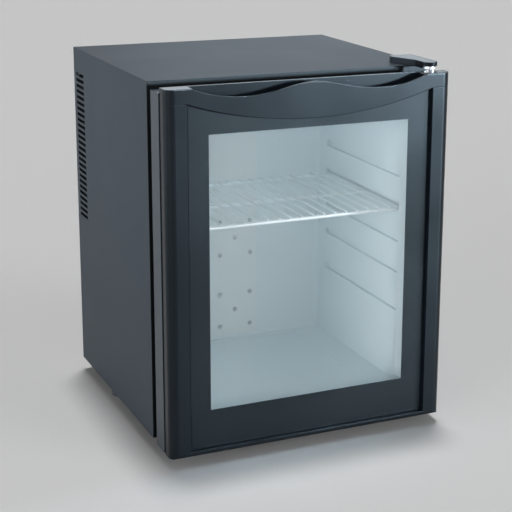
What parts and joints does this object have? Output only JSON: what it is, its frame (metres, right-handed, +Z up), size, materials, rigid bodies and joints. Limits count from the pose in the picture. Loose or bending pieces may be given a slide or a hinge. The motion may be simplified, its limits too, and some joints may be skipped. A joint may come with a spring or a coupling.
{
  "type": "glass door minibar fridge",
  "caption": "Compact free-standing minibar fridge with a hinged glass door, a pull-out wire shelf, vented steel sides and a thermoelectric cooler behind the cabin.",
  "frame": {"origin": "middle of the width and depth of the whole closed fridge, on the floor under its feet", "axes": "+Z up; the door faces -Y; +X is the hinge side, on the right of someone facing the door"},
  "size_m": [0.402, 0.4058, 0.509],
  "materials": {
    "cabinet_paint": "satin dark slate paint",
    "door_plastic": "satin dark slate moulding",
    "cap_plastic": "satin dark slate moulding",
    "liner_plastic": "smooth white sheet plastic",
    "cold_plate_paint": "white painted sheet",
    "foam": "rigid insulation foam",
    "glazing": "clear float glass",
    "spacer_metal": "mill finish",
    "gasket_rubber": "soft extruded gasket",
    "magnet": "bonded magnet strip",
    "zinc_steel": "zinc plated",
    "dark_steel": "black painted",
    "bright_screw": "bright plated",
    "white_screw": "painted over",
    "sink_aluminium": "extruded",
    "module_ceramic": "sintered wafer",
    "supply_plastic": "moulded",
    "inlet_plastic": "moulded",
    "brass_pin": "plated",
    "foot_rubber": "moulded",
    "shelf_coating": "white coated wire",
    "cover_gloss": "polished black",
    "nylon": "natural nylon"
  },
  "bodies": {
    "cabinet": {"left_side_panel": "cabinet_paint", "right_side_panel": "cabinet_paint", "top_panel": "cabinet_paint", "base_pan": "dark_steel", "rear_bulkhead": "zinc_steel", "inner_liner": "liner_plastic", "foam_insulation": "foam", "rear_wall_plate": "cold_plate_paint", "upper_plate_screws": "bright_screw", "lower_plate_screws": "white_screw", "cold_blocks": "sink_aluminium", "thermoelectric_modules": "module_ceramic", "heat_sink": "sink_aluminium", "sink_standoffs": "nylon", "sink_screws": "zinc_steel", "power_supply": "supply_plastic", "rear_cover": "dark_steel", "rear_cover_screws": "zinc_steel", "mains_inlet": "inlet_plastic", "inlet_pins": "brass_pin", "feet": "foot_rubber", "foot_screws": "zinc_steel", "top_hinge_bracket": "zinc_steel", "top_hinge_pin": "zinc_steel", "top_hinge_screws": "zinc_steel", "top_hinge_cover": "cover_gloss", "bottom_hinge_bracket": "dark_steel", "bottom_hinge_pin": "zinc_steel", "bottom_hinge_screws": "zinc_steel"},
    "shelf": {"shelf_frame": "shelf_coating", "shelf_cross_rod": "shelf_coating", "shelf_wires": "shelf_coating"},
    "door": {"door_frame": "door_plastic", "door_foam": "foam", "door_top_cap": "cap_plastic", "outer_pane": "glazing", "glass_spacer": "spacer_metal", "inner_pane": "glazing", "door_liner_frame": "liner_plastic", "door_gasket": "gasket_rubber", "gasket_magnets": "magnet", "top_hinge_bush": "nylon", "bottom_hinge_bush": "nylon"}
  },
  "joints": [
    {"name": "door_hinge", "type": "hinge", "parent": "cabinet", "child": "door", "pos_m": [0.187, -0.1659, 0.25], "axis": [0, 0, 1], "range_deg": [0, 120]},
    {"name": "shelf_slide", "type": "slide", "parent": "cabinet", "child": "shelf", "axis": [0, -1, 0], "range_m": [-0.009, 0.014]}
  ]
}
